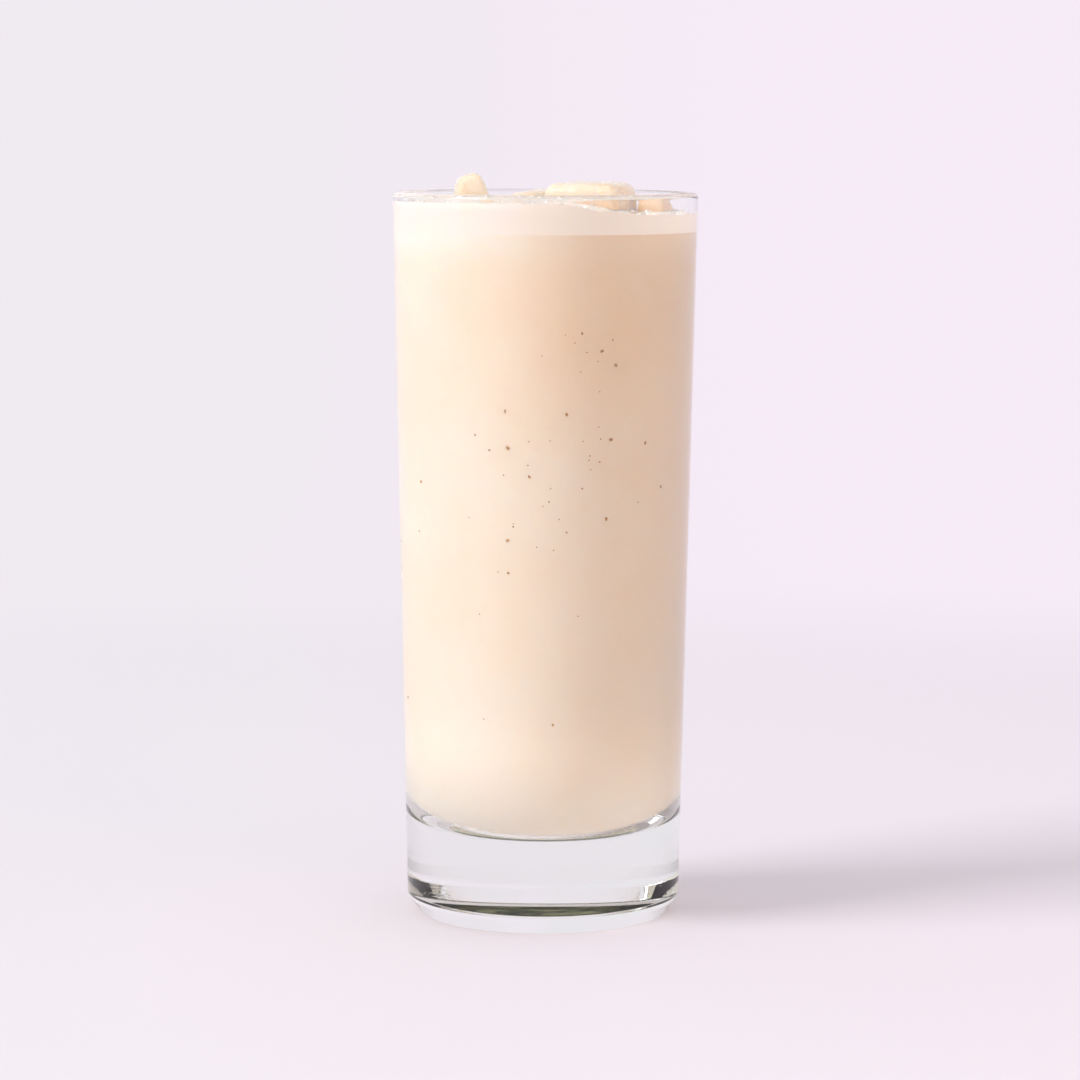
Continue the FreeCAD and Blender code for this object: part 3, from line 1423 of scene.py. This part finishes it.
@dataclass
class Flecks:
    """Brown coconut flecks that show against the inside of the glass."""

    tumbler: Tumbler
    sunk: float = 0.1 * MM
    smallest: float = 0.12 * MM
    largest: float = 0.36 * MM
    thickest: float = 0.3 * MM
    rarity: float = 2.5
    chip_place: Place = (0.55, 0.35, 0.0)
    chip_normal: Place = (0.8, 0.6, 0.1)
    grain: Place = (1.0, 1.3, 0.5)
    seed: int = 29
    clouds: tuple[FleckCloud, ...] = (
        FleckCloud(-82.0, 16.0, 100.0 * MM, 11.0 * MM, 34),
        FleckCloud(-72.0, 8.0, 121.0 * MM, 4.0 * MM, 8),
        FleckCloud(-98.0, 20.0, 58.0 * MM, 9.0 * MM, 5),
        FleckCloud(25.0, 30.0, 95.0 * MM, 22.0 * MM, 18),
        FleckCloud(95.0, 28.0, 105.0 * MM, 18.0 * MM, 22),
        FleckCloud(185.0, 30.0, 88.0 * MM, 24.0 * MM, 18),
    )
    husk: CoconutFleck = CoconutFleck()

    def model_fleck(self) -> bpy.types.Object:
        """Model one fleck: a small chipped grain, thin and longer than wide.

        Returns:
            The fleck, of a half width of 1.
        """
        clear_selection()
        bpy.ops.mesh.primitive_ico_sphere_add(subdivisions=2, radius=1.0)
        fleck = name_new("fleck")
        bpy.ops.object.mode_set(mode="EDIT")
        bpy.ops.mesh.select_all(action="SELECT")
        bpy.ops.mesh.bisect(plane_co=self.chip_place, plane_no=self.chip_normal,
                            use_fill=True, clear_outer=True)
        bpy.ops.mesh.select_all(action="SELECT")
        bpy.ops.transform.resize(value=self.grain)
        bpy.ops.object.mode_set(mode="OBJECT")
        return fleck

    def build(self) -> bpy.types.Object:
        """Scatter the flecks over the drink's side and dress them.

        Returns:
            All the flecks as one piece.
        """
        chance = random.Random(self.seed)
        master = self.model_fleck()
        copies = []
        for cloud in self.clouds:
            for _ in range(cloud.count):
                bearing = math.radians(chance.gauss(cloud.bearing, cloud.spread))
                level = chance.gauss(cloud.level, cloud.rise)
                share = chance.random() ** self.rarity
                size = self.smallest + (self.largest - self.smallest) * share
                reach = self.tumbler.inner_radius(level) + self.sunk
                turn = (Matrix.Rotation(bearing, 4, "Z") @ Matrix.Rotation(math.pi / 2, 4, "Y")
                        @ Matrix.Rotation(chance.uniform(0, math.tau), 4, "Z"))
                spot = (reach * math.cos(bearing), reach * math.sin(bearing), level)
                flat = Matrix.Diagonal((size, size, min(size, self.thickest), 1.0))
                copies.append(placed_copy(master, Matrix.Translation(spot) @ turn @ flat))
        bpy.data.objects.remove(master)
        piece = joined("coconut_flecks", copies)
        dress(piece, self.husk.material())
        settle(piece, None)
        return piece


# ---------------------------------------------------------------- the studio


@dataclass(frozen=True)
class Viewpoint:
    """Where the camera stands and how it looks, with angles in degrees."""

    aside: float = -0.9 * MM
    distance: float = 840.0 * MM
    height: float = 174.0 * MM
    pitch: float = 6.35
    roll: float = 0.2
    lens: float = 131.2
    sensor: float = 36.0
    nearest: float = 0.01
    farthest: float = 20.0

    def build(self) -> None:
        """Add the camera and make it the scene's."""
        clear_selection()
        bpy.ops.object.camera_add(location=(self.aside, -self.distance, self.height))
        camera = bpy.context.active_object
        turn = (Matrix.Rotation(math.radians(90 - self.pitch), 4, "X")
                @ Matrix.Rotation(math.radians(self.roll), 4, "Z"))
        camera.rotation_euler = turn.to_euler()
        camera.data.lens = self.lens
        camera.data.sensor_width = self.sensor
        camera.data.clip_start, camera.data.clip_end = self.nearest, self.farthest
        bpy.context.scene.camera = camera


@dataclass
class Studio:
    """The pale sweep, the soft key lamp, a warm card and the light of the room.

    The room and the sweep look pale where they are low, and dark high up to
    anything that mirrors them. Angles are in degrees.
    """

    floor_rings: tuple[float, ...] = (0.3, 0.7)
    floor_radius: float = 1.0
    sweep_radius: float = 0.32
    sweep_steps: int = 24
    sweep_segments: int = 96
    lit_radius: float = 0.26
    plain_radius: float = 0.60
    rosy_from: float = -0.16
    rosy_full: float = 0.12
    cool: Colour = linear(240, 234, 241)
    rosy: Colour = linear(246, 235, 246)
    floor_tint: Colour = (0.90, 0.925, 0.91)
    floor_roughness: float = 0.9
    paper: Patches = Patches(900.0)
    paper_depth: float = 0.02 * MM
    paper_strength: float = 0.3
    key_distance: float = 2.6
    key_bearing: float = 203.0
    key_rise: float = 36.0
    key_aim: float = 80.0 * MM
    key_size: float = 1.1
    key_power: float = 36.0
    card_place: Place = (0.55, -0.66, 0.12)
    card_aim: float = 40.0 * MM
    card_size: float = 0.3
    card_power: float = 1.8
    card_colour: Colour = (1.0, 0.72, 0.43)
    fill: float = 0.78
    fill_colour: Colour = (1.0, 0.985, 1.0)
    seen_low: Colour = linear(242, 233, 242)
    seen_high: Colour = (0.15, 0.16, 0.13)
    dark_from: float = 30.0
    dark_full: float = 38.0

    def build_sweep(self) -> None:
        """Spin the floor and its raised edge, and colour it."""
        flat = [(radius, 0.0) for radius in (0.0, *self.floor_rings, self.floor_radius)]
        edge = arc((self.floor_radius, self.sweep_radius), self.sweep_radius,
                   -math.pi / 2, 0.0, self.sweep_steps)
        sweep = spun_piece("studio_sweep", [*flat, *edge], self.sweep_segments)
        material, sheet = new_material("studio_sweep")
        across, along, height = sheet.coordinates()
        # Painted light: the sweep is lighter and pinker toward the right, for light that falls
        # unevenly on the paper.
        side = across.rise(self.rosy_from, self.rosy_full)
        tinted = (tuple(c * t for c, t in zip(colour, self.floor_tint))
                  for colour in (self.cool, self.rosy))
        paper = sheet.bump(sheet.noise(self.paper), self.paper_depth, self.paper_strength)
        lit = sheet.add("ShaderNodeBsdfPrincipled", None, {
            "Base Color": sheet.mix(side, *tinted), "Roughness": self.floor_roughness,
            "Specular IOR Level": 0.0, "Normal": paper})
        is_camera = sheet.ray("Is Camera Ray")
        is_seen = (is_camera + sheet.ray("Is Glossy Ray")
                   + sheet.ray("Is Transmission Ray")).rise(0.0, 1.0)
        reach = ((self.floor_radius + self.sweep_radius) * math.tan(math.radians(rise))
                 for rise in (self.dark_from, self.dark_full))
        above = height.rise(*reach) * (1.0 - is_camera)
        tone = sheet.mix(side, self.cool, self.rosy)
        shown = sheet.add("ShaderNodeEmission", None, {
            "Color": sheet.mix(above, tone, self.seen_high)})
        far = (across * across + along * along).rise(self.lit_radius ** 2,
                                                     self.plain_radius ** 2)
        sheet.finish(sheet.mix_shaders(is_seen * far, lit, shown))
        dress(sweep, material)

    @staticmethod
    def add_lamp(name: str, place: Vector, aim: float, size: float,
                 power: float) -> bpy.types.Object:
        """Add a square area lamp that the camera doesn't see.

        Args:
            name: The lamp's name.
            place: Where it stands.
            aim: The height on the glass's axis that it is turned to.
            size: Its side.
            power: Its power in watts.

        Returns:
            The lamp.
        """
        clear_selection()
        bpy.ops.object.light_add(type="AREA", location=place)
        lamp = bpy.context.active_object
        lamp.name = name
        lamp.data.shape = "SQUARE"
        lamp.data.size = size
        lamp.data.energy = power
        ahead = Vector((0.0, 0.0, aim)) - place
        lamp.rotation_euler = ahead.to_track_quat("-Z", "Y").to_euler()
        lamp.visible_camera = False
        return lamp

    def build_key(self) -> None:
        """Add the soft key lamp, aimed at the middle of the glass."""
        bearing, rise = math.radians(self.key_bearing), math.radians(self.key_rise)
        away = Vector((math.cos(bearing) * math.cos(rise),
                       math.sin(bearing) * math.cos(rise), math.sin(rise)))
        place = Vector((0.0, 0.0, self.key_aim)) + away * self.key_distance
        self.add_lamp("key_lamp", place, self.key_aim, self.key_size, self.key_power)

    def build_card(self) -> None:
        """Add the low warm card that lifts the shaded side."""
        card = self.add_lamp("warm_card", Vector(self.card_place), self.card_aim,
                             self.card_size, self.card_power)
        card.data.color = self.card_colour
        card.visible_glossy = card.visible_transmission = False

    def build_room(self) -> None:
        """Light the world: even for lighting, pale and low where it is seen."""
        world = bpy.data.worlds.new("room")
        sheet = NodeSheet(world)
        ray = sheet.add("ShaderNodeTexCoord").outputs["Generated"]
        rise = sheet.signal("ShaderNodeSeparateXYZ", None, {0: ray}, "Z")
        reach = (math.sin(math.radians(turn)) for turn in (self.dark_from, self.dark_full))
        seen = sheet.mix(rise.rise(*reach), self.seen_low, self.seen_high)
        lit = tuple(self.fill * channel for channel in self.fill_colour)
        is_mirrored = sheet.ray("Is Glossy Ray") + sheet.ray("Is Transmission Ray")
        shown = sheet.mix(is_mirrored, lit, seen)
        shown = sheet.mix(sheet.ray("Is Camera Ray"), shown, self.seen_low)
        room = sheet.add("ShaderNodeBackground", None, {"Color": shown, "Strength": 1.0})
        sheet.add("ShaderNodeOutputWorld", None, {"Surface": room})
        bpy.context.scene.world = world

    def build(self) -> None:
        """Build the sweep, the lamps and the room, and set the plain view."""
        self.build_sweep()
        self.build_key()
        self.build_card()
        self.build_room()
        bpy.context.scene.view_settings.view_transform = "Standard"
        log.info("studio: sweep, key lamp, warm card and room light are in place")


def main() -> None:
    """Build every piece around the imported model."""
    logging.basicConfig(level=logging.INFO, format="%(message)s")
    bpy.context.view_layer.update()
    _, glass_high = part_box("glass")
    _, drink_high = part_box("lemonade")
    tumbler = Tumbler(height=glass_high.z)
    tumbler.build()
    ice_lumps = IceLumps()
    ice_lumps.build()
    Drink(tumbler, top=drink_high.z).build()
    ice_boxes = [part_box(shape.node) for shape in ice_lumps.shapes]
    froth = Froth(tumbler, bottom=drink_high.z, ice_boxes=ice_boxes)
    froth.build()
    Bubbles(froth).build()
    Flecks(tumbler).build()
    Studio().build()
    Viewpoint().build()


if __name__ == "__main__":
    main()
